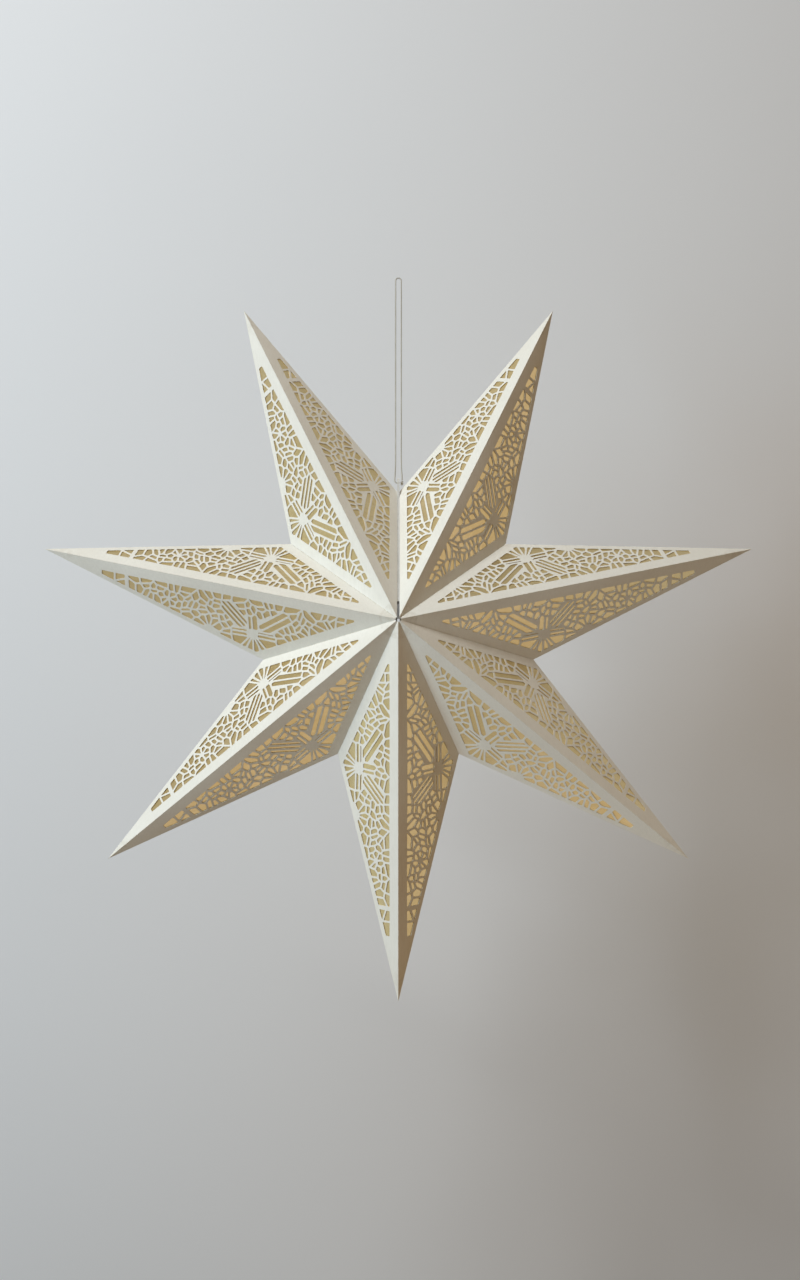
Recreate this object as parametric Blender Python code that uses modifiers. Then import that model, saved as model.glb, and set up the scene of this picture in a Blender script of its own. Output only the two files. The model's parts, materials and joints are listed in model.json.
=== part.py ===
"""A seven-pointed paper star that folds out like a fan, hung by a loop of string.

Every ray is a hollow folded pyramid with a front and a back half. Each half is a sheet of white
card with windows cut in it, creased along its ridge, over a creased sheet of gold paper. Two end
cards close the seam at the top, and the string passes through the holes in their ears.

The star lies in the XZ plane with its front towards -Y and one ray straight down. The origin is
where a hook holds the string. Metres, +Z up.
"""

import math

import bmesh
import bpy
from mathutils import Matrix, Vector

# The star
RAYS = 7
TIP_RADIUS = 0.350
VALLEY_RADIUS = 0.1326
HALF_DEPTH = 0.072
RAY_ANGLE = 2 * math.pi / RAYS

# The sheets
CARD = 0.0004
LINING = 0.0002
GAP = 0.0003
CENTRE_HOLE = 0.0024

# The cut field of one facet, and its windows
RIDGE_BORDER = 0.0105
VALLEY_BORDER = 0.0095
OUTER_BORDER = 0.0044
UNCUT_TIP = 0.061
UNCUT_CENTRE = 0.042
WINDOW_PITCH = 0.030
WINDOW_BAR = 0.0035

# The end cards at the seam
END_CARD = 0.0008
END_CARD_WIDTH = 0.016
END_CARD_START = 0.018
EAR_RADIUS = 0.0045
EAR_HOLE = 0.002
HOLE_ABOVE_VALLEY = 0.010
NECK = 0.003

# The string
STRING = 0.0014
STRING_HANG = 0.205
STRAND_SPREAD = 0.0028
EAR_SPREAD = 0.0036
STRING_BEND = 0.0028
KNOT_RADIUS = 0.0021
KNOT_HEIGHT = 0.0046

HALF_RAY = RAY_ANGLE / 2
HOLE_RADIUS = VALLEY_RADIUS + HOLE_ABOVE_VALLEY
COLLECTION = bpy.data.collections.new("paper_snowflake_star")

# Each look is a colour, a roughness and a metallic value.
WHITE_CARD = ((0.87, 0.85, 0.77, 1), 0.65, 0.0)
GOLD_PAPER = ((0.76, 0.60, 0.31, 1), 0.32, 1.0)
GREY_CARD = ((0.80, 0.80, 0.77, 1), 0.8, 0.0)
COTTON_STRING = ((0.58, 0.56, 0.51, 1), 0.9, 0.0)


# --- Scene -----------------------------------------------------------------------------------


def clear_scene():
    for obj in list(bpy.data.objects):
        bpy.data.objects.remove(obj, do_unlink=True)


def material(name, look):
    color, roughness, metallic = look
    made = bpy.data.materials.new(name)
    made.use_nodes = True
    made.diffuse_color = color
    shader = made.node_tree.nodes["Principled BSDF"]
    shader.inputs["Base Color"].default_value = color
    shader.inputs["Roughness"].default_value = roughness
    shader.inputs["Metallic"].default_value = metallic
    return made


def add_part(name, mesh, look, parent=None):
    mesh.materials.clear()
    mesh.materials.append(material(name, look))
    obj = bpy.data.objects.new(name, mesh)
    COLLECTION.objects.link(obj)
    obj.parent = parent
    return obj


def axis_empty(name, place, parent=None):
    """An empty on a joint's axis, placed relative to its parent."""
    empty = bpy.data.objects.new(name, None)
    COLLECTION.objects.link(empty)
    empty.parent = parent
    empty.matrix_basis = place
    return empty


# --- Outlines and plates in a plane ------------------------------------------------------------


def clip(polygon, point, normal):
    """The part of a convex polygon behind the line through point with this outward normal."""
    kept = []
    for start, end in zip(polygon, polygon[1:] + polygon[:1]):
        before = (start - point).dot(normal)
        after = (end - point).dot(normal)
        if before <= 0:
            kept.append(start)
        if before * after < 0:
            kept.append(start.lerp(end, before / (before - after)))
    return kept


def area(polygon):
    pairs = zip(polygon, polygon[1:] + polygon[:1])
    return abs(sum(a.x * b.y - a.y * b.x for a, b in pairs)) / 2


def staggered_points(field, pitch):
    """Points of a staggered grid over a field, a pitch apart."""
    points = []
    x_high = max(point.x for point in field)
    y = min(point.y for point in field) + pitch / 3
    row = 0
    while y < max(point.y for point in field):
        x = min(point.x for point in field) + pitch * (0.4 + 0.5 * (row % 2))
        while x < x_high:
            points.append(Vector((x, y)))
            x += pitch
        y += pitch * math.sqrt(3) / 2
        row += 1
    return points


def window_cells(field):
    """The windows in a field: the land nearest each grid point, less half a bar on every side."""
    centres = staggered_points(field, WINDOW_PITCH)
    cells = []
    for centre in centres:
        cell = list(field)
        for other in centres:
            if other == centre or not cell:
                continue
            towards = (other - centre).normalized()
            cell = clip(cell, (centre + other) / 2 - towards * WINDOW_BAR / 2, towards)
        if len(cell) > 2 and area(cell) > WINDOW_PITCH**2 / 12:
            cells.append(cell)
    return cells


def arc(centre, radius, start, end, steps):
    angles = [start + (end - start) * i / steps for i in range(steps + 1)]
    return [centre + Vector((math.cos(a), math.sin(a))) * radius for a in angles]


def weld(mesh, distance=1e-7):
    bm = bmesh.new()
    bm.from_mesh(mesh)
    bmesh.ops.remove_doubles(bm, verts=bm.verts, dist=distance)
    bmesh.ops.recalc_face_normals(bm, faces=bm.faces)
    bm.to_mesh(mesh)
    bm.free()


def mesh_of_curve(curve):
    """A curve's mesh, with its caps welded on. The curve itself is removed."""
    obj = bpy.data.objects.new(curve.name, curve)
    COLLECTION.objects.link(obj)
    graph = bpy.context.evaluated_depsgraph_get()
    mesh = bpy.data.meshes.new_from_object(obj.evaluated_get(graph))
    bpy.data.objects.remove(obj)
    bpy.data.curves.remove(curve)
    weld(mesh)
    return mesh


def flat_plate(name, outline, holes, thickness):
    """A plate in the XY plane, from z = 0 down to -thickness."""
    curve = bpy.data.curves.new(name, "CURVE")
    curve.dimensions = "2D"
    curve.fill_mode = "BOTH"
    curve.extrude = thickness / 2
    for loop in [outline] + holes:
        spline = curve.splines.new("POLY")
        spline.points.add(len(loop) - 1)
        for point, place in zip(spline.points, loop):
            point.co = (place.x, place.y, 0, 1)
        spline.use_cyclic_u = True
    mesh = mesh_of_curve(curve)
    mesh.transform(Matrix.Translation((0, 0, -thickness / 2)))
    return mesh


def trim(mesh, cuts):
    """Keeps what is behind each cut, a plane as (point, outward normal, closed or left open)."""
    bm = bmesh.new()
    bm.from_mesh(mesh)
    for point, normal, closed in cuts:
        everything = bm.verts[:] + bm.edges[:] + bm.faces[:]
        found = bmesh.ops.bisect_plane(
            bm, geom=everything, dist=1e-8, plane_co=point, plane_no=normal, clear_outer=True
        )
        edges = [item for item in found["geom_cut"] if isinstance(item, bmesh.types.BMEdge)]
        if closed and edges:
            bmesh.ops.contextual_create(bm, geom=edges)
    bmesh.ops.recalc_face_normals(bm, faces=bm.faces)
    bm.to_mesh(mesh)
    bm.free()


# --- One ray, in its own axes: X out to the tip, Y to the back, Z to its left from the front ------


class Facet:
    """The front left facet of a ray: its corners, and the axes of its plane."""

    def __init__(self):
        self.apex = Vector((0, -HALF_DEPTH, 0))
        self.tip = Vector((TIP_RADIUS, 0, 0))
        self.valley = Vector((math.cos(HALF_RAY), 0, math.sin(HALF_RAY))) * VALLEY_RADIUS
        along = (self.tip - self.apex).normalized()
        normal = (self.tip - self.apex).cross(self.valley - self.apex).normalized()
        across = normal.cross(along)
        axes = Matrix((along, across, normal)).transposed()
        self.to_ray = Matrix.Translation(self.apex) @ axes.to_4x4()

    def outline(self):
        """Apex, tip and valley corner in the facet's plane, with x along the ridge."""
        to_plane = self.to_ray.inverted()
        return [(to_plane @ corner).to_2d() for corner in (self.apex, self.tip, self.valley)]

    def field(self):
        """The part of the facet that holds windows, inside its uncut borders."""
        apex, tip, valley = self.outline()
        middle = (apex + tip + valley) / 3
        field = [apex, tip, valley]
        borders = ((apex, tip, RIDGE_BORDER), (apex, valley, VALLEY_BORDER), (valley, tip, OUTER_BORDER))
        for start, end, border in borders:
            outward = (end - start).normalized().orthogonal()
            if (middle - start).dot(outward) > 0:
                outward.negate()
            field = clip(field, start - outward * border, outward)
        ridge = (tip - apex).normalized()
        field = clip(field, tip - ridge * UNCUT_TIP, ridge)
        return clip(field, apex + ridge * UNCUT_CENTRE, -ridge)


def sector_cuts(seam, ridge_closed):
    """The planes between this facet and its neighbours: ridge, valley, mid-plane and centre."""
    valley_normal = Vector((-math.sin(HALF_RAY), 0, math.cos(HALF_RAY)))
    valley_room = END_CARD + 1.5 * GAP if seam else GAP / 2
    ridge_room = GAP / 2 if ridge_closed else 0
    return [
        (Vector((0, 0, ridge_room)), Vector((0, 0, -1)), ridge_closed),
        (-valley_normal * valley_room, valley_normal, True),
        (Vector((0, -GAP / 2, 0)), Vector((0, 1, 0)), True),
        (Vector((CENTRE_HOLE, 0, 0)), Vector((-1, 0, 0)), True),
    ]


def grown(outline, share=1.03):
    centre = sum(outline, Vector((0, 0))) / len(outline)
    return [centre + (point - centre) * share for point in outline]


def turn_quarter(mesh, left, front):
    """Mirrors the front left shape onto another quarter of the ray, its faces still outward."""
    mesh.transform(Matrix.Diagonal((1, 1 if front else -1, 1 if left else -1, 1)))
    if left != front:
        mesh.flip_normals()


def panel_mesh(name, facet, left, front, seam):
    """One facet of card with its windows, mitred to its neighbours."""
    mesh = flat_plate(name, grown(facet.outline()), window_cells(facet.field()), CARD)
    mesh.transform(facet.to_ray)
    trim(mesh, sector_cuts(seam, ridge_closed=True))
    turn_quarter(mesh, left, front)
    return mesh


def add_lining(name, facet, front, parent):
    """A creased sheet of gold paper just behind both facets of a ray's front or back."""
    mesh = flat_plate(name, grown(facet.outline()), [], LINING)
    mesh.transform(facet.to_ray @ Matrix.Translation((0, 0, -CARD - GAP)))
    trim(mesh, sector_cuts(seam=True, ridge_closed=False))
    turn_quarter(mesh, True, front)
    lining = add_part(name, mesh, GOLD_PAPER, parent)
    mirror = lining.modifiers.new("other facet", "MIRROR")
    mirror.use_axis = (False, False, True)
    mirror.merge_threshold = 0.00001


def add_ray(number, facet, star):
    """A ray, numbered clockwise from the seam as seen from the front."""
    angle = RAY_ANGLE * (number - 0.5)
    outward = Vector((math.sin(angle), 0, math.cos(angle)))
    left = outward.cross(Vector((0, 1, 0)))
    axes = Matrix((outward, Vector((0, 1, 0)), left)).transposed().to_4x4()
    centre = Matrix.Translation((0, 0, -HOLE_RADIUS))
    ray = axis_empty(f"ray_{number}_fold_axis", centre @ axes, star)
    for front, face in ((True, "front"), (False, "back")):
        for is_left, side in ((True, "left"), (False, "right")):
            name = f"ray_{number}_{face}_{side}_panel"
            seam = (number == 1 and is_left) or (number == RAYS and not is_left)
            add_part(name, panel_mesh(name, facet, is_left, front, seam), WHITE_CARD, ray)
        add_lining(f"ray_{number}_{face}_lining", facet, front, ray)


# --- The seam ------------------------------------------------------------------------------------


def add_end_card(name, right, star):
    """A chevron of card in the plane of the seam, with an ear that stands out of the valley.

    Its outline is drawn with x to the back and y up the seam, from the star's centre. It starts
    some way out, so that the folded rays clear it where they crowd together at the centre line.
    """
    slant = math.hypot(HALF_DEPTH, VALLEY_RADIUS)
    leg = END_CARD_WIDTH * slant / VALLEY_RADIUS
    hole_centre = Vector((0, HOLE_RADIUS))
    neck_height = VALLEY_RADIUS * (1 - NECK / HALF_DEPTH)
    shoulder = math.radians(20)
    start = HALF_DEPTH * (1 - END_CARD_START / VALLEY_RADIUS)
    outline = [Vector((start - leg, END_CARD_START)), Vector((start, END_CARD_START))]
    outline.append(Vector((NECK, neck_height)))
    outline += arc(hole_centre, EAR_RADIUS, -shoulder, math.pi + shoulder, 14)
    outline.append(Vector((-NECK, neck_height)))
    outline += [Vector((-start, END_CARD_START)), Vector((leg - start, END_CARD_START))]
    outline.append(Vector((0, VALLEY_RADIUS * (1 - leg / HALF_DEPTH))))
    hole = arc(hole_centre, EAR_HOLE, 0, 2 * math.pi, 12)[:-1]
    mesh = flat_plate(name, outline, [hole], END_CARD)
    # The plate's x, y and normal become the star's Y, Z and X.
    stand = Matrix(((0, 0, 1), (1, 0, 0), (0, 1, 0))).to_4x4()
    outer_face = GAP / 2 + END_CARD if right else -GAP / 2
    mesh.transform(Matrix.Translation((outer_face, 0, -HOLE_RADIUS)) @ stand)
    add_part(name, mesh, GREY_CARD, star)


# --- The string, in the object's own axes ----------------------------------------------------------


def string_route():
    """From the knot through both ears, up the left side, over the hook and down to the knot."""
    hole = Vector((0, 0, -STRING_HANG))
    knot_side = hole + Vector((EAR_SPREAD - KNOT_RADIUS - GAP, 0, 0))
    corner = hole + Vector((-EAR_SPREAD + STRING_BEND, 0, STRING_BEND))
    turn = [math.pi * (1.5 - 0.5 * i / 4) for i in range(5)]
    through = [knot_side] + [corner + Vector((math.cos(a), 0, math.sin(a))) * STRING_BEND for a in turn]
    top = Vector((0, 0, STRING / 2 - STRAND_SPREAD))
    over = [math.pi * (1 - i / 8) for i in range(9)]
    bend = [top + Vector((math.cos(a), 0, math.sin(a))) * STRAND_SPREAD for a in over]
    gathered = STRING_HANG * 0.9
    left = [Vector((-STRAND_SPREAD, 0, -gathered * share)) for share in (1, 0.75, 0.5, 0.25, 0.05)]
    right = [Vector((-point.x, 0, point.z)) for point in reversed(left)]
    above_knot = hole + Vector((EAR_SPREAD, 0, KNOT_HEIGHT / 2 + GAP))
    return through + left + bend + right + [above_knot + Vector((0, 0, 0.003)), above_knot]


def smooth(points, spacing):
    """Points of a Catmull-Rom curve through the given ones, about a spacing apart."""
    ends = [points[0] * 2 - points[1]] + points + [points[-1] * 2 - points[-2]]
    line = []
    for a, b, c, d in zip(ends, ends[1:], ends[2:], ends[3:]):
        count = max(1, round((c - b).length / spacing))
        for i in range(count):
            t = i / count
            bend = (2 * a - 5 * b + 4 * c - d) * t**2 + (3 * b - a - 3 * c + d) * t**3
            line.append((2 * b + (c - a) * t + bend) / 2)
    return line + [points[-1]]


def add_string(name):
    curve = bpy.data.curves.new(name, "CURVE")
    curve.dimensions = "3D"
    curve.bevel_depth = STRING / 2
    curve.bevel_resolution = 2
    curve.use_fill_caps = True
    route = smooth(string_route(), STRING * 8)
    spline = curve.splines.new("POLY")
    spline.points.add(len(route) - 1)
    for point, place in zip(spline.points, route):
        point.co = (place.x, place.y, place.z, 1)
    add_part(name, mesh_of_curve(curve), COTTON_STRING)


def add_knot(name):
    mesh = bpy.data.meshes.new(name)
    bm = bmesh.new()
    shape = Matrix.Diagonal((KNOT_RADIUS, KNOT_RADIUS, KNOT_HEIGHT / 2, 1))
    place = Matrix.Translation((EAR_SPREAD, 0, -STRING_HANG))
    bmesh.ops.create_uvsphere(bm, u_segments=12, v_segments=8, radius=1, matrix=place @ shape)
    bm.to_mesh(mesh)
    bm.free()
    mesh.shade_smooth()
    add_part(name, mesh, COTTON_STRING)


clear_scene()
bpy.context.scene.collection.children.link(COLLECTION)
star_axis = axis_empty("star_swing_axis", Matrix.Translation((0, 0, -STRING_HANG)))
add_end_card("seam_end_card_right", True, star_axis)
for ray_number in range(1, RAYS + 1):
    add_ray(ray_number, Facet(), star_axis)
add_end_card("seam_end_card_left", False, star_axis)
add_string("hanging_string")
add_knot("string_knot")
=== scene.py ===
"""The looks of a seven-pointed paper star that hangs by a loop of string.

Each ray gets a front and a back sheet of white card with its cut pattern, creased along the ridge,
over a creased sheet of gold paper. Metres, +Z up, front towards -Y, origin where a hook holds the
string. A ray's own axes are X out to its tip, Y to the back and Z to its left from the front.
"""

import cmath
import json
import math
import random
from collections import namedtuple

import bmesh
import bpy
from mathutils import Matrix, Vector
from mathutils.geometry import delaunay_2d_cdt


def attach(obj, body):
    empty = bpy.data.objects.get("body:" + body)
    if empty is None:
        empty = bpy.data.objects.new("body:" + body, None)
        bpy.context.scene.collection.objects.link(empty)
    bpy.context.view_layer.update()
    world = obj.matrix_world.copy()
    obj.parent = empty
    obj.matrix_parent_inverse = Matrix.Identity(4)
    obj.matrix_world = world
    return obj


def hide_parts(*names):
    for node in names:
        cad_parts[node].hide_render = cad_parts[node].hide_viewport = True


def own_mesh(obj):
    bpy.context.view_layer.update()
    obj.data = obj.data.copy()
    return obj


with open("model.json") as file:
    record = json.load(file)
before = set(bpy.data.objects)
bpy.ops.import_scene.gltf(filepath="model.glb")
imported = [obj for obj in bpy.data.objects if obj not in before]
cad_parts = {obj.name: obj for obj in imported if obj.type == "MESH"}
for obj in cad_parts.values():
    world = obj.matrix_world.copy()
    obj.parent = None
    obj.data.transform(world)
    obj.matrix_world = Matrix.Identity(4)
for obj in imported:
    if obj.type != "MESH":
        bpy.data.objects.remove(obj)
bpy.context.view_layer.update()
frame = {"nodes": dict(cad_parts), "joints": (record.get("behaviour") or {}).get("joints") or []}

# The star, as packed
RAYS = 7
RAY_ANGLE = 2 * math.pi / RAYS
HALF_RAY = RAY_ANGLE / 2
CENTRE = next(Vector(j["pos_m"]) for j in frame["joints"] if j["name"] == "ray_1_fold")
TIP_RADIUS = 0.350
VALLEY_RADIUS = 0.1326
HALF_DEPTH = 0.072
CENTRE_HOLE = 0.0024

# The sheets. The gold paper lies LINING_DEPTH behind the card's outer face. The gaps are between the
# front and the back sheet at the silhouette, from a sheet to its valley, and from a sheet to the
# seam, where an end card stands.
CARD = 0.0004
LINING = 0.0002
LINING_DEPTH = 0.0007
SILHOUETTE_GAP = 0.0001
VALLEY_GAP = 0.00004
SEAM_GAP = 0.00125
SHEET_GRID = 0.008
CREASE = 24

# A facet's bow, and the ranges that each facet draws from: its lean, how closely its waves follow
# each other, and where they start along and across the ridge
BOW = 0.0011
BOW_RANGES = ((-0.6, 1.0), (0.02, 0.035), (0, 6.3), (0, 6.3))

# The cut pattern of one facet, in millimetres
MM = 0.001
BAR = 1.9
RIDGE_BORDER = 10.5
VALLEY_BORDER = 9.5
OUTER_BORDER = 4.4

# Spare points of a sheet's mesh: the height of their rows as a share of the grid, and how far they
# stay from the sheet's outline and from its cut field
GRID_ROW = 0.87
SHEET_MARGIN = 1.5

# Where the main field begins from the apex and ends from the tip, and both ends of the small field
# from the tip
MAIN_FIELD = (42, 88)
END_FIELD = (84, 60)

# The strokes between the figures: the grid that they are tried on, how far they shift, the longest of
# them, how far they turn, how far apart they are and how far they stay inside the field
CELL_PITCH = 5.0
ROW_SHARE = 0.433
SHIFT = 0.28
STROKE = 5.0
STROKE_TURN = 16
STROKE_SPACING = 3.8
STROKE_MARGIN = 0.9

# A small figure's slot keeps this far from the slots before it. A cell of less than the least area is
# left out. A corner is rounded over a length, or over at most a share of its side.
FIGURE_SPACING = 2.6
LEAST_CELL = 3.0
CORNER_CUT = 0.9
CORNER_SHARE = 0.28

# The layer of a sheet's mesh that holds how far each point is from the nearest crease or outer edge,
# in millimetres
EDGE_LAYER = "to_edge"

# The string. KNOT_SWING is how far the knot's middle line swings to the side, to the front and back,
# and up and down.
STRING = 0.0014
STRING_HANG = 0.205
STRAND_SPREAD = 0.0028
EAR_SPREAD = 0.0036
STRING_BEND = 0.0028
KNOT_RADIUS = 0.0021
KNOT_HEIGHT = 0.0046
KNOT_SWING = (0.0007, 0.0014, 0.0016)
KNOT_SQUEEZE = 0.95
KNOT_STEPS = 120
STRING_ROOM = 0.0003
PLIES = 3
PLY_PITCH = 0.0046
PLY_BULGE = 0.22
ROPE_SIDES = 15
ROPE_STEP = 0.0003

# --- Camera --------------------------------------------------------------------------------------

CAMERA_RIGHT = 0.0016
CAMERA_BELOW = 0.187
CAMERA_AWAY = 1.488
CAMERA_PITCH = math.radians(6.76)
SENSOR = 36
LENS = 44

scene = bpy.context.scene


def add_camera():
    data = bpy.data.cameras.new("camera")
    data.lens = LENS
    data.sensor_width = SENSOR
    camera = bpy.data.objects.new("camera", data)
    camera.location = CENTRE + Vector((CAMERA_RIGHT, -CAMERA_AWAY, -CAMERA_BELOW))
    camera.rotation_euler = (math.pi / 2 + CAMERA_PITCH, 0, 0)
    scene.collection.objects.link(camera)
    scene.camera = camera


# --- Objects -------------------------------------------------------------------------------------


def add_object(name, mesh, materials, place=Matrix()):
    for made in materials:
        mesh.materials.append(made)
    obj = bpy.data.objects.new(name, mesh)
    obj.matrix_world = place
    scene.collection.objects.link(obj)
    return obj


def apply_modifiers(obj):
    graph = bpy.context.evaluated_depsgraph_get()
    mesh = bpy.data.meshes.new_from_object(obj.evaluated_get(graph))
    obj.modifiers.clear()
    obj.data = mesh


def smooth_shading(mesh, crease):
    mesh.shade_smooth()
    mesh.set_sharp_from_angle(angle=math.radians(crease))


def piece(obj, body, slot, *nodes):
    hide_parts(*nodes)
    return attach(obj, body)


# --- Node materials ------------------------------------------------------------------------------


class Surface:
    """A Principled material, with short calls for the nodes that feed it."""

    def __init__(self, name, roughness, metallic=0.0, specular=0.5):
        self.material = bpy.data.materials.new(name)
        self.material.use_nodes = True
        self.tree = self.material.node_tree
        self.shader = self.tree.nodes["Principled BSDF"]
        self.shader.inputs["Roughness"].default_value = roughness
        self.shader.inputs["Metallic"].default_value = metallic
        self.shader.inputs["Specular IOR Level"].default_value = specular
        self.place = self.tree.nodes.new("ShaderNodeTexCoord").outputs["Object"]

    def node(self, kind, inputs, **settings):
        """A node with these inputs, each a value or another node's output."""
        made = self.tree.nodes.new(kind)
        for key, value in settings.items():
            setattr(made, key, value)
        for key, value in inputs.items():
            if isinstance(value, bpy.types.NodeSocket):
                self.tree.links.new(value, made.inputs[key])
            else:
                made.inputs[key].default_value = value
        return made

    def stretched(self, scale, turn=(0, 0, 0)):
        mapping = self.node("ShaderNodeMapping", {"Vector": self.place, "Scale": scale, "Rotation": turn})
        return mapping.outputs["Vector"]

    def noise(self, scale, detail=2.0, roughness=0.5, vector=None):
        inputs = {"Scale": scale, "Detail": detail, "Roughness": roughness, "Vector": vector or self.place}
        return self.node("ShaderNodeTexNoise", inputs).outputs["Fac"]

    def ranged(self, value, low, high, to_low=0.0, to_high=1.0):
        inputs = {"Value": value, "From Min": low, "From Max": high, "To Min": to_low, "To Max": to_high}
        return self.node("ShaderNodeMapRange", inputs).outputs["Result"]

    def math(self, operation, first, second=0.0):
        made = self.node("ShaderNodeMath", {0: first, 1: second}, operation=operation)
        return made.outputs["Value"]

    def mix(self, share, first, second):
        made = self.node("ShaderNodeMix", {"Factor": share}, data_type="RGBA")
        for socket, value in ((made.inputs[6], first), (made.inputs[7], second)):
            if isinstance(value, bpy.types.NodeSocket):
                self.tree.links.new(value, socket)
            else:
                socket.default_value = (*value, 1)
        return made.outputs[2]

    def bump(self, height, distance, strength=1.0, under=None):
        inputs = {"Height": height, "Distance": distance, "Strength": strength}
        if under:
            inputs["Normal"] = under
        return self.node("ShaderNodeBump", inputs).outputs["Normal"]

    def finish(self, color, roughness=None, normal=None):
        for key, value in (("Base Color", color), ("Roughness", roughness), ("Normal", normal)):
            if value:
                self.tree.links.new(value, self.shader.inputs[key])
        return self.material


def fibres(surface, scale):
    """Short threads that lie every way in the sheet, as in pressed pulp."""
    found = None
    for turn in (0.4, 1.5, 2.6):
        vector = surface.stretched((1, 1, 0.12), (turn, turn * 1.7, turn * 0.6))
        layer = surface.ranged(surface.noise(scale, 1.0, 0.4, vector), 0.52, 0.68)
        found = layer if found is None else surface.math("MAXIMUM", found, layer)
    return found


def card_material():
    """Smooth white card: cloudy pulp, fine threads, and a patchy darker, browner line along each crease
    and outer edge.
    """
    light = (0.885, 0.865, 0.79)
    dark = (0.85, 0.825, 0.745)
    roughness = 0.62
    surface = Surface("white_card", roughness, specular=0.35)
    clouds = surface.ranged(surface.noise(38, 4, 0.55), 0.3, 0.7)
    threads = fibres(surface, 520)
    grain = surface.noise(2600, 3, 0.7)
    color = surface.mix(clouds, dark, light)
    color = surface.mix(surface.math("MULTIPLY", threads, 0.22), color, tuple(c * 0.9 for c in dark))
    to_edge = surface.node("ShaderNodeAttribute", {}, attribute_name=EDGE_LAYER).outputs["Fac"]
    # The card is painted darker and browner in a patchy band within about a millimetre of each crease and
    # outer edge.
    edge_band = surface.ranged(to_edge, 1.1, 0.0, 0, 0.4)
    darker_edge_band = surface.math("MULTIPLY", edge_band, surface.ranged(surface.noise(190, 3, 0.6), 0.38, 0.62))
    color = surface.mix(darker_edge_band, color, (0.62, 0.57, 0.47))
    rough = surface.ranged(grain, 0.2, 0.8, roughness - 0.08, roughness + 0.1)
    relief = surface.bump(threads, 0.00004, 0.5)
    relief = surface.bump(grain, 0.00003, 0.35, relief)
    return surface.finish(color, rough, relief)


def cut_edge_material():
    """The broken pulp of a cut edge, a little rougher and warmer than the faces."""
    surface = Surface("card_cut_edge", 0.85, specular=0.2)
    pulp = surface.noise(3200, 3, 0.7)
    color = surface.mix(surface.ranged(pulp, 0.3, 0.7), (0.70, 0.66, 0.56), (0.82, 0.80, 0.73))
    return surface.finish(color, None, surface.bump(pulp, 0.00006, 0.6))


def gold_material():
    """Gold-coated paper: a brushed satin coat with grain, thinner in places."""
    surface = Surface("gold_coated_paper", 0.32, metallic=1.0)
    flecks = surface.noise(1900, 2, 0.6)
    brushed = surface.noise(420, 3, 0.6, surface.stretched((0.06, 1, 1)))
    thin = surface.ranged(surface.noise(26, 3, 0.6), 0.35, 0.7)
    color = surface.mix(thin, (0.74, 0.57, 0.27), (0.80, 0.64, 0.35))
    color = surface.mix(surface.ranged(flecks, 0.56, 0.74, 0, 0.5), color, (0.95, 0.84, 0.58))
    color = surface.mix(surface.ranged(brushed, 0.3, 0.75, 0, 0.28), color, (0.50, 0.35, 0.13))
    rough = surface.ranged(flecks, 0.25, 0.75, 0.38, 0.26)
    relief = surface.bump(flecks, 0.00003, 0.5)
    relief = surface.bump(brushed, 0.00003, 0.4, relief)
    return surface.finish(color, rough, relief)


def end_card_material():
    """Thick grey-white board, with coarser threads than the sheets."""
    surface = Surface("end_board", 0.8, specular=0.25)
    threads = fibres(surface, 300)
    clouds = surface.ranged(surface.noise(90, 4, 0.6), 0.3, 0.7)
    color = surface.mix(clouds, (0.69, 0.68, 0.64), (0.80, 0.79, 0.75))
    color = surface.mix(surface.math("MULTIPLY", threads, 0.4), color, (0.55, 0.53, 0.47))
    return surface.finish(color, None, surface.bump(threads, 0.00006, 0.6))


def string_material():
    """Soft cotton, with fine hairs along the plies. Its grey-white tones are darkened with painted shade.
    """
    surface = Surface("cotton_string", 0.9, specular=0.15)
    hairs = surface.noise(2600, 3, 0.7, surface.stretched((1, 1, 0.25)))
    soil_and_shade = surface.ranged(surface.noise(70, 2, 0.5), 0.35, 0.75)
    # Painted shade: both tones are darker than the cotton's own off-white, so that the string reads as in
    # shade, with its shadow beside it. The cloudy mix between them stands for soiling.
    color = surface.mix(soil_and_shade, (0.52, 0.50, 0.45), (0.62, 0.60, 0.55))
    color = surface.mix(surface.ranged(hairs, 0.55, 0.7, 0, 0.5), color, (0.36, 0.34, 0.30))
    surface.shader.inputs["Sheen Weight"].default_value = 0.25
    return surface.finish(color, None, surface.bump(hairs, 0.00008, 0.7))


# --- The string and its knot ---------------------------------------------------------------------


def string_route():
    """From the knot through both ears, up the left side, over the hook and down to the knot."""
    hole = Vector((0, 0, -STRING_HANG))
    knot_side = hole + Vector((EAR_SPREAD - KNOT_RADIUS - STRING_ROOM, 0, 0))
    corner = hole + Vector((-EAR_SPREAD + STRING_BEND, 0, STRING_BEND))
    turn = [math.pi * (1.5 - 0.5 * i / 4) for i in range(5)]
    through = [knot_side] + [corner + Vector((math.cos(a), 0, math.sin(a))) * STRING_BEND for a in turn]
    top = Vector((0, 0, STRING / 2 - STRAND_SPREAD))
    over = [math.pi * (1 - i / 8) for i in range(9)]
    bend = [top + Vector((math.cos(a), 0, math.sin(a))) * STRAND_SPREAD for a in over]
    gathered = STRING_HANG * 0.9
    left = [Vector((-STRAND_SPREAD, 0, -gathered * share)) for share in (1, 0.75, 0.5, 0.25, 0.05)]
    right = [Vector((-point.x, 0, point.z)) for point in reversed(left)]
    above_knot = hole + Vector((EAR_SPREAD, 0, KNOT_HEIGHT / 2 + STRING_ROOM))
    return through + left + bend + right + [above_knot + Vector((0, 0, 0.003)), above_knot]


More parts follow.
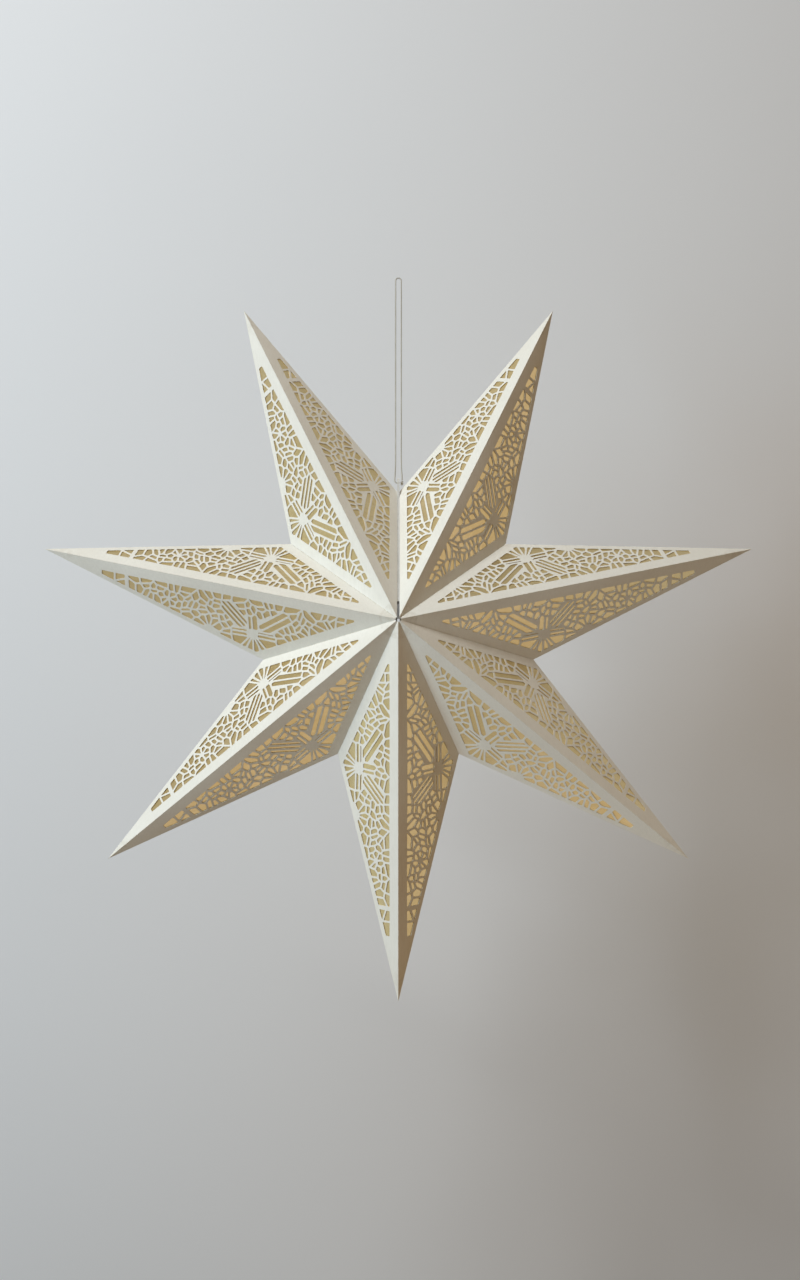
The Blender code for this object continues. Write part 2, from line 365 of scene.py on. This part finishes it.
def smooth_line(points, spacing):
    """Points of a Catmull-Rom curve through the given ones, about a spacing apart."""
    ends = [points[0] * 2 - points[1]] + points + [points[-1] * 2 - points[-2]]
    line = []
    for a, b, c, d in zip(ends, ends[1:], ends[2:], ends[3:]):
        count = max(1, round((c - b).length / spacing))
        for i in range(count):
            t = i / count
            bend = (2 * a - 5 * b + 4 * c - d) * t**2 + (3 * b - a - 3 * c + d) * t**3
            line.append((2 * b + (c - a) * t + bend) / 2)
    return line + [points[-1]]


def rope_mesh(name, line, diameter):
    """A rope of twisted plies along a line that lies in the XZ plane or near it."""
    bm = bmesh.new()
    rings = []
    travelled = 0
    for i, point in enumerate(line):
        along = (line[min(i + 1, len(line) - 1)] - line[max(i - 1, 0)]).normalized()
        side = along.cross(Vector((0, 1, 0))).normalized()
        up = side.cross(along)
        travelled += (point - line[i - 1]).length if i else 0
        twist = 2 * math.pi * travelled / PLY_PITCH
        ring = []
        for j in range(ROPE_SIDES):
            angle = 2 * math.pi * j / ROPE_SIDES
            bulge = 1 - PLY_BULGE + PLY_BULGE * abs(math.cos(PLIES * angle / 2))
            out = side * math.cos(angle + twist) + up * math.sin(angle + twist)
            ring.append(bm.verts.new(point + out * (diameter / 2 * bulge)))
        rings.append(ring)
    for before, after in zip(rings, rings[1:]):
        for j in range(ROPE_SIDES):
            bm.faces.new((before[j - 1], before[j], after[j], after[j - 1]))
    for cap in (rings[0], rings[-1]):
        bm.faces.new(cap)
    bmesh.ops.recalc_face_normals(bm, faces=bm.faces)
    mesh = bpy.data.meshes.new(name)
    bm.to_mesh(mesh)
    bm.free()
    smooth_shading(mesh, 60)
    return mesh


def knot_line(place):
    """An overhand knot drawn tight, as a trefoil squeezed into the knot's room."""
    line = []
    for i in range(KNOT_STEPS + 1):
        t = 2 * math.pi * i / KNOT_STEPS
        deep = math.sin(3 * t)
        across = (math.cos(t) - 2 * math.cos(2 * t)) / 3
        high = (math.sin(t) + 2 * math.sin(2 * t)) / 3
        line.append(place + Vector((deep, across, high)) * Vector(KNOT_SWING))
    return line


def add_string():
    material = string_material()
    knotted = knot_line(Vector((EAR_SPREAD, 0, -STRING_HANG)))
    knot = add_object("tied_knot", rope_mesh("tied_knot", knotted, STRING * KNOT_SQUEEZE), [material])
    piece(knot, "string", "string", "string_knot")
    line = smooth_line(string_route(), ROPE_STEP)
    string = add_object("twisted_string", rope_mesh("twisted_string", line, STRING), [material])
    piece(string, "string", "string", "hanging_string")


# --- The cut pattern -----------------------------------------------------------------------------
# Points of a facet's plane are complex numbers, in millimetres: the real axis runs along the ridge
# from the apex, and the imaginary axis towards the valley.

# A cell grows around the segment from start to end, and room pushes its neighbours away. A site
# that is not cut keeps its land as card.
Site = namedtuple("Site", "start end room cut", defaults=(0.0, True))


def dot(a, b):
    return (a.conjugate() * b).real


def cross(a, b):
    return (a.conjugate() * b).imag


def polar(centre, radius, degrees):
    return centre + cmath.rect(radius, math.radians(degrees))


def clip(polygon, point, normal):
    """The part of a convex polygon behind the line through point with this outward normal."""
    kept = []
    for start, end in zip(polygon, polygon[1:] + polygon[:1]):
        before = dot(start - point, normal)
        after = dot(end - point, normal)
        if before <= 0:
            kept.append(start)
        if before * after < 0:
            kept.append(start + (end - start) * before / (before - after))
    return kept


def area(polygon):
    return abs(sum(cross(a, b) for a, b in zip(polygon, polygon[1:] + polygon[:1]))) / 2


def inside(point, polygon, margin):
    """Whether a point is this far inside a convex polygon that turns left."""
    sides = zip(polygon, polygon[1:] + polygon[:1])
    return all(cross(b - a, point - a) >= margin * abs(b - a) for a, b in sides)


def nearest(point, site):
    along = site.end - site.start
    if abs(along) < 1e-9:
        return site.start
    share = dot(point - site.start, along) / abs(along) ** 2
    return site.start + along * min(1, max(0, share))


def closest(one, other):
    pairs = [(p, nearest(p, other)) for p in (one.start, one.end)]
    pairs += [(nearest(p, one), p) for p in (other.start, other.end)]
    return min(pairs, key=lambda pair: abs(pair[0] - pair[1]))


def apart(one, other):
    a, b = closest(one, other)
    return abs(a - b) - one.room - other.room


def petals(centre, degrees, count, spacing, near, far, room=0.0):
    """Slots side by side, all in one direction from a centre."""
    way = polar(0, 1, degrees)
    made = []
    for i in range(count):
        side = i - (count - 1) / 2
        reach = near + (far - near) * (1 - 0.12 * abs(side))
        root = centre + way * 1j * spacing * side
        made.append(Site(root + way * near, root + way * reach, room))
    return made


def fan(centre, first, last, count, near, far):
    """Slots that spread from a centre like the ribs of a fan."""
    turns = [first + (last - first) * i / (count - 1) for i in range(count)]
    return [Site(polar(centre, near, a), polar(centre, far, a)) for a in turns]


def half_flower(along, count, reach):
    """Slots that spread from a point on the field's ridge side, longer towards its ends."""
    centre = complex(along, RIDGE_BORDER + 0.5)
    made = []
    for i in range(count):
        degrees = 14 + 152 * i / (count - 1)
        far = reach * (0.8 + 0.75 * abs(math.cos(math.radians(degrees))))
        made.append(Site(polar(centre, 3.6, degrees), polar(centre, far, degrees)))
    return made


def dot_site(point, cut=True):
    return Site(point, point, 0.0, cut)


def snowflake():
    """A six-way flower of slots near the widest place, and its white heart."""
    centre = 142 + 49j
    slots = petals(centre, 218, 2, 6.6, 15, 43, 0.9)
    slots += petals(centre, 315, 3, 4.3, 14, 42)
    slots += petals(centre, 275, 2, 5.2, 6.5, 19, 0.2)
    slots += petals(centre, 2, 3, 4.4, 7, 20)
    slots += petals(centre, 180, 3, 4.4, 7, 20)
    slots += fan(centre, 52, 132, 4, 5, 12)
    slots += [dot_site(polar(centre, 5, a)) for a in (248, 295, 338)]
    return slots, [Site(centre, centre, 1.3, False)]


def small_figures():
    """The half flowers along the ridge, the notch on the outer edge and a small round flower."""
    slots = half_flower(93, 6, 11) + half_flower(147, 5, 9)
    slots += half_flower(198, 6, 10) + half_flower(243, 5, 8)
    notch = 187 + 51j
    slots += fan(notch, 205, 335, 5, 5, 12)
    slots += petals(198 + 11j, 47, 2, 4.6, 8, 27, 0.2)
    flower = 228 + 27j
    slots += fan(flower, 20, 340, 7, 3.4, 6.5)
    return slots, [Site(notch + 3, notch - 3 + 1j, 1.6, False), dot_site(flower, cut=False)]


def mosaic(field, sites, seed):
    """Short strokes on an uneven staggered grid, wherever the figures leave room."""
    dice = random.Random(seed)
    made = []
    rows = math.ceil(max(p.imag for p in field) / (CELL_PITCH * ROW_SHARE))
    columns = math.ceil(max(p.real for p in field) / (CELL_PITCH * 0.5))
    for row in range(rows):
        for column in range(columns):
            x = (column + 0.5 * (row % 2)) * CELL_PITCH * 0.5 + dice.uniform(-SHIFT, SHIFT) * CELL_PITCH
            y = row * CELL_PITCH * ROW_SHARE + dice.uniform(-SHIFT, SHIFT) * CELL_PITCH
            reach = STROKE / 2 * dice.uniform(0.4, 1.0)
            degrees = 60 * dice.randrange(3) + dice.uniform(-STROKE_TURN, STROKE_TURN)
            half = polar(0, reach, degrees)
            site = Site(complex(x, y) - half, complex(x, y) + half)
            roomy = all(apart(site, other) > STROKE_SPACING for other in sites + made)
            if roomy and all(inside(end, field, STROKE_MARGIN) for end in (site.start, site.end)):
                made.append(site)
    return made


def softened(cell):
    """A cell with its corners rounded."""
    made = []
    for before, corner, after in zip([cell[-1]] + cell[:-1], cell, cell[1:] + cell[:1]):
        into = corner + (before - corner) * min(CORNER_SHARE, CORNER_CUT / max(abs(before - corner), 1e-9))
        out = corner + (after - corner) * min(CORNER_SHARE, CORNER_CUT / max(abs(after - corner), 1e-9))
        made += [into, (into + out) * 0.25 + corner * 0.5, out]
    return made


def cells_of(field, sites):
    """Each site's cell: the land nearer to it than to the others, less half a bar all round."""
    cells = []
    for site in sites:
        cell = list(field) if site.cut else []
        for other in sites:
            if other is site or not cell:
                continue
            near, far = closest(site, other)
            way = (far - near) / abs(far - near)
            middle = (near + far) / 2 + way * (site.room - other.room - BAR) / 2
            cell = clip(cell, middle, way)
        if len(cell) > 2 and area(cell) > LEAST_CELL:
            cells.append(softened(cell))
    return cells


# --- Sheets of card and paper --------------------------------------------------------------------


class Facet:
    """The front left facet of a ray, a plane that may lie some depth behind the outer face."""

    def __init__(self, depth=0.0, valley_gap=VALLEY_GAP):
        apex = Vector((0, -HALF_DEPTH, 0))
        tip = Vector((TIP_RADIUS, 0, 0))
        self.valley = Vector((math.cos(HALF_RAY), 0, math.sin(HALF_RAY))) * VALLEY_RADIUS
        self.along = (tip - apex).normalized()
        self.normal = (tip - apex).cross(self.valley - apex).normalized()
        self.across = self.normal.cross(self.along)
        self.origin = apex - self.normal * depth
        self.corners = [self.flat(corner) for corner in (apex, tip, self.valley)]
        self.valley_gap = valley_gap

    def flat(self, point):
        """A point's place in the plane, in millimetres."""
        return complex((point - self.origin).dot(self.along), (point - self.origin).dot(self.across)) / MM

    def solid(self, point, lift=0.0):
        """A plane's place in the ray's axes, lifted off the plane."""
        return self.origin + (self.along * point.real + self.across * point.imag) * MM + self.normal * lift

    def cut(self, polygon, point, normal):
        """The part of a polygon in the plane that is behind a plane in the ray's axes."""
        level = normal.dot(self.origin - point) / MM
        slope = complex(normal.dot(self.along), normal.dot(self.across))
        return clip(polygon, -slope * level / abs(slope) ** 2, slope)

    def outline(self):
        """The sheet's outline: to the ridge, the valley, the silhouette and the hole at the centre."""
        apex, tip, valley = self.corners
        # A rough polygon that covers the facet is cut at each of the facet's limits. At the silhouette
        # it runs a card's thickness too far, because sheet_mesh trims it there.
        polygon = [apex - 20 - 20j, tip + 40 - 20j, tip + 40 + 60j, valley + 60j, apex - 20 + 60j]
        outward = Vector((-math.sin(HALF_RAY), 0, math.cos(HALF_RAY)))
        polygon = self.cut(polygon, Vector((0, 0, 0)), Vector((0, 0, -1)))
        polygon = self.cut(polygon, -outward * self.valley_gap, outward)
        polygon = self.cut(polygon, Vector((0, CARD, 0)), Vector((0, 1, 0)))
        return self.cut(polygon, Vector((CENTRE_HOLE, 0, 0)), Vector((-1, 0, 0)))

    def to_edge(self, point):
        """How far a point is from the nearest of the facet's three edges."""
        sides = zip(self.corners, self.corners[1:] + self.corners[:1])
        return min(abs(cross(b - a, point - a)) / abs(b - a) for a, b in sides)

    def field(self, low, from_tip):
        """The part inside the uncut borders, from low to this far from the tip."""
        apex, tip, valley = self.corners
        field = self.corners
        borders = ((apex, tip, RIDGE_BORDER), (tip, valley, OUTER_BORDER), (valley, apex, VALLEY_BORDER))
        for start, end, border in borders:
            outward = (end - start) / abs(end - start) * -1j
            field = clip(field, start - outward * border, outward)
        field = clip(field, complex(tip.real - from_tip, 0), 1 + 0j)
        return clip(field, complex(low, 0), -1 + 0j)


def lace():
    """Every cell of one facet: the main field, and the small figure near the tip."""
    facet = Facet()
    main = facet.field(*MAIN_FIELD)
    flower, heart = snowflake()
    figures, blanks = small_figures()
    sites = list(flower)
    for site in figures:
        if all(apart(site, other) > FIGURE_SPACING for other in sites):
            sites.append(site)
    blanks = heart + blanks
    sites += mosaic(main, sites + blanks, 11)
    tip = facet.corners[1].real
    end = facet.field(tip - END_FIELD[0], END_FIELD[1])
    ends = [complex(tip - back, RIDGE_BORDER + up) for back, up in ((79, 3.4), (68, 2.6), (81, 9))]
    return cells_of(main, sites + blanks) + cells_of(end, [dot_site(point) for point in ends])


def stepped(loop, step):
    """A closed line with points added so that none of its sides is longer than a step."""
    made = []
    for start, end in zip(loop, loop[1:] + loop[:1]):
        count = max(1, math.ceil(abs(end - start) / step))
        made += [start + (end - start) * i / count for i in range(count)]
    return made


def triangulated(outline, holes, field):
    """Points and triangles of a flat sheet with holes."""
    step = SHEET_GRID / MM
    loops = [stepped(outline, step)] + holes
    points = [point for loop in loops for point in loop]
    faces = []
    first = 0
    for loop in loops:
        faces.append(list(range(first, first + len(loop))))
        first += len(loop)
    row = 0
    while row * step * GRID_ROW < max(p.imag for p in outline):
        for column in range(math.ceil(max(p.real for p in outline) / step)):
            spare = complex((column + 0.5 * (row % 2)) * step, row * step * GRID_ROW)
            in_field = field and inside(spare, field, -SHEET_MARGIN)
            if inside(spare, outline, SHEET_MARGIN) and not in_field:
                points.append(spare)
        row += 1
    flat = [Vector((point.real, point.imag)) for point in points]
    made = delaunay_2d_cdt(flat, [], faces, 0, 1e-6)
    triangles = [face for face, sources in zip(made[2], made[5]) if sources == [0]]
    return [complex(point.x, point.y) for point in made[0]], triangles


def bow_of(facet, point, bend):
    """How far the sheet bows off its plane: nothing on the facet's edges, most in the middle."""
    a, b, c = facet.corners
    whole = cross(b - a, c - a)
    shares = (cross(b - point, c - point), cross(c - point, a - point), cross(a - point, b - point))
    # The product of the three shares is 1/27 in the middle.
    share = 27 * math.prod(max(0, value / whole) for value in shares)
    swing, slow, phase, lean = bend
    waves = swing + 0.45 * math.sin(point.real * slow + phase) + 0.25 * math.sin(point.imag * 0.11 + lean)
    return BOW * share * waves


def trim(bm, point, normal):
    """Cuts a closed mesh at a plane, keeps what is behind it and closes the cut."""
    everything = bm.verts[:] + bm.edges[:] + bm.faces[:]
    found = bmesh.ops.bisect_plane(
        bm, geom=everything, dist=1e-8, plane_co=point, plane_no=normal, clear_outer=True
    )
    edges = [item for item in found["geom_cut"] if isinstance(item, bmesh.types.BMEdge)]
    bmesh.ops.contextual_create(bm, geom=edges)


def sheet_mesh(name, sides, thickness, front, seed, place, rim=0):
    """A sheet creased along its ridge, from the flat triangles of its left and right facets."""
    bm = bmesh.new()
    layer = bm.verts.layers.float.new(EDGE_LAYER)
    for is_left, (facet, points, triangles) in sides:
        dice = random.Random(seed * 2 + is_left)
        bend = [dice.uniform(low, high) for low, high in BOW_RANGES]
        places = [facet.solid(point, bow_of(facet, point, bend)) for point in points]
        mirror = Vector((1, 1, 1 if is_left else -1))
        verts = [bm.verts.new(place * mirror) for place in places]
        for vert, point in zip(verts, points):
            vert[layer] = facet.to_edge(point)
        for triangle in triangles:
            corners = [verts[i] for i in triangle]
            bm.faces.new(corners if is_left else corners[::-1])
    bmesh.ops.remove_doubles(bm, verts=bm.verts, dist=2e-6)
    bmesh.ops.delete(bm, geom=[vert for vert in bm.verts if not vert.link_faces], context="VERTS")
    mesh = bpy.data.meshes.new(name)
    bm.to_mesh(mesh)
    bm.free()
    obj = add_object(name, mesh, [])
    shell = obj.modifiers.new("thickness", "SOLIDIFY")
    shell.thickness = thickness
    shell.offset = -1
    shell.use_even_offset = True
    shell.material_offset_rim = rim
    apply_modifiers(obj)
    mesh = obj.data
    bpy.data.objects.remove(obj)
    bm = bmesh.new()
    bm.from_mesh(mesh)
    trim(bm, Vector((0, -SILHOUETTE_GAP / 2, 0)), Vector((0, 1, 0)))
    bm.to_mesh(mesh)
    bm.free()
    if not front:
        mesh.transform(Matrix.Diagonal((1, -1, 1, 1)))
        mesh.flip_normals()
    mesh.transform(place)
    smooth_shading(mesh, CREASE)
    return mesh


def flat_sheet(depth, valley_gap, holes):
    facet = Facet(depth, valley_gap)
    field = facet.field(*MAIN_FIELD) if holes else None
    return (facet, *triangulated(facet.outline(), holes, field))


def ray_axes(number):
    angle = RAY_ANGLE * (number - 0.5)
    outward = Vector((math.sin(angle), 0, math.cos(angle)))
    left = outward.cross(Vector((0, 1, 0)))
    turn = Matrix((outward, Vector((0, 1, 0)), left)).transposed().to_4x4()
    return Matrix.Translation(CENTRE) @ turn, left


def add_rays():
    card = [card_material(), cut_edge_material()]
    gold = [gold_material()]
    holes = lace()
    cards = {seam: flat_sheet(0, SEAM_GAP if seam else VALLEY_GAP, holes) for seam in (False, True)}
    lining = flat_sheet(LINING_DEPTH, SEAM_GAP, [])
    for number in range(1, RAYS + 1):
        place, left = ray_axes(number)
        body = f"ray_{number}"
        sides = [(True, cards[number == 1]), (False, cards[number == RAYS])]
        for front, face in ((True, "front"), (False, "back")):
            seed = number * 2 + front
            name = f"{body}_{face}_card"
            sheet = add_object(name, sheet_mesh(name, sides, CARD, front, seed, place, rim=1), card)
            panels = [f"{body}_{face}_{side}_panel" for side in ("left", "right")]
            piece(sheet, body, "white_card", *panels)
            name = f"{body}_{face}_gold"
            both = [(True, lining), (False, lining)]
            paper = add_object(name, sheet_mesh(name, both, LINING, front, seed, place), gold)
            piece(paper, body, "gold_paper", f"{body}_{face}_lining")
            for made in (sheet, paper):
                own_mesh(made)


def add_end_cards():
    """The two end cards in their CAD shape, with their edges just broken."""
    board = end_card_material()
    for side, body in (("left", f"ray_{RAYS}"), ("right", "star_seam")):
        node = f"seam_end_card_{side}"
        card = add_object(f"end_card_{side}", frame["nodes"][node].data.copy(), [])
        card.data.materials.clear()
        card.data.materials.append(board)
        edge = card.modifiers.new("edge", "BEVEL")
        edge.width = 0.00012
        edge.segments = 2
        edge.angle_limit = math.radians(40)
        apply_modifiers(card)
        smooth_shading(card.data, 50)
        piece(card, body, "end_card", node)
        if side == "left":
            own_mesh(card)


# --- Stage ---------------------------------------------------------------------------------------

WALL_BEHIND = 0.42
FLOOR_BELOW = 0.92
ROOM = (0.80, 0.82, 0.86, 1)
ROOM_STRENGTH = 0.6
DIM_LIGHT = (1.0, 0.64, 0.30, 1)
DIM_STRENGTH = 0.12


def plain_material(name, light, dark, scale):
    """Matt paint with a faint cloudiness."""
    surface = Surface(name, 0.95, specular=0.1)
    color = surface.mix(surface.ranged(surface.noise(scale, 3, 0.5), 0.3, 0.7), dark, light)
    return surface.finish(color, None, surface.bump(surface.noise(260, 2, 0.5), 0.0002, 0.2))


def stage_plane(name, width, height, place, material):
    bm = bmesh.new()
    bmesh.ops.create_grid(bm, x_segments=8, y_segments=8, size=0.5)
    mesh = bpy.data.meshes.new(name)
    bm.to_mesh(mesh)
    bm.free()
    obj = add_object(name, mesh, [material], place @ Matrix.Diagonal((width, height, 1, 1)))
    obj.visible_diffuse = False
    obj.visible_glossy = False
    obj.visible_shadow = False


def see_through_from_behind(material):
    """The wall shows only its front, so that the star can be looked at from all round."""
    tree = material.node_tree
    shown = tree.nodes["Material Output"].inputs["Surface"]
    clear = tree.nodes.new("ShaderNodeBsdfTransparent")
    behind = tree.nodes.new("ShaderNodeNewGeometry")
    either = tree.nodes.new("ShaderNodeMixShader")
    tree.links.new(behind.outputs["Backfacing"], either.inputs[0])
    tree.links.new(tree.nodes["Principled BSDF"].outputs[0], either.inputs[1])
    tree.links.new(clear.outputs[0], either.inputs[2])
    tree.links.new(either.outputs[0], shown)


def add_stage():
    paint = plain_material("wall_paint", (0.84, 0.86, 0.89), (0.80, 0.82, 0.85), 2.2)
    see_through_from_behind(paint)
    stand = Matrix.Rotation(math.pi / 2 + CAMERA_PITCH, 4, "X")
    place = Matrix.Translation(CENTRE + Vector((0, HALF_DEPTH + WALL_BEHIND, 0))) @ stand
    stage_plane("wall", 5, 3.6, place, paint)
    floor_paint = plain_material("floor_paint", (0.74, 0.74, 0.73), (0.70, 0.70, 0.69), 1.5)
    stage_plane("floor", 7, 7, Matrix.Translation(CENTRE - Vector((0, 0, FLOOR_BELOW))), floor_paint)


def add_lamp(name, way, distance, size, power, color):
    """A soft square lamp this far from the star's centre, facing it."""
    data = bpy.data.lights.new(name, "AREA")
    data.size = size
    data.energy = power
    data.color = color
    lamp = bpy.data.objects.new(name, data)
    lamp.visible_camera = False
    towards = Vector(way).normalized()
    lamp.location = CENTRE + towards * distance
    lamp.rotation_mode = "QUATERNION"
    lamp.rotation_quaternion = towards.to_track_quat("Z", "Y")
    scene.collection.objects.link(lamp)


def add_world():
    """A pale room to look at and to reflect, that lights matt surfaces only a little, and warmly."""
    scene.world = bpy.data.worlds.new("studio")
    scene.world.use_nodes = True
    tree = scene.world.node_tree
    seen = tree.nodes["Background"]
    seen.inputs["Color"].default_value = ROOM
    seen.inputs["Strength"].default_value = ROOM_STRENGTH
    dim = tree.nodes.new("ShaderNodeBackground")
    dim.inputs["Color"].default_value = DIM_LIGHT
    dim.inputs["Strength"].default_value = DIM_STRENGTH
    rays = tree.nodes.new("ShaderNodeLightPath")
    either = tree.nodes.new("ShaderNodeMixShader")
    tree.links.new(rays.outputs["Is Diffuse Ray"], either.inputs[0])
    tree.links.new(seen.outputs[0], either.inputs[1])
    tree.links.new(dim.outputs[0], either.inputs[2])
    tree.links.new(either.outputs[0], tree.nodes["World Output"].inputs["Surface"])


def add_light():
    add_lamp("key", (-0.66, -0.70, 0.28), 2.6, 0.7, 23, (0.86, 0.94, 1.0))
    add_lamp("top", (-0.40, -0.60, 0.70), 2.6, 0.7, 29, (0.99, 1.0, 0.98))
    add_lamp("left", (-0.80, -0.58, -0.18), 2.6, 0.7, 17, (0.60, 0.84, 1.0))
    add_lamp("warm_right", (0.97, -0.20, -0.05), 1.8, 1.6, 1.9, (1.0, 0.62, 0.24))
    add_lamp("warm_low", (0.30, -0.25, -0.90), 0.86, 0.8, 0.45, (1.0, 0.58, 0.20))
    add_lamp("behind", (0.25, 0.85, 0.45), 2.6, 1.6, 45, (1.0, 0.99, 0.97))
    scene.view_settings.view_transform = "Standard"


add_camera()
add_string()
add_rays()
add_end_cards()
add_stage()
add_light()
add_world()
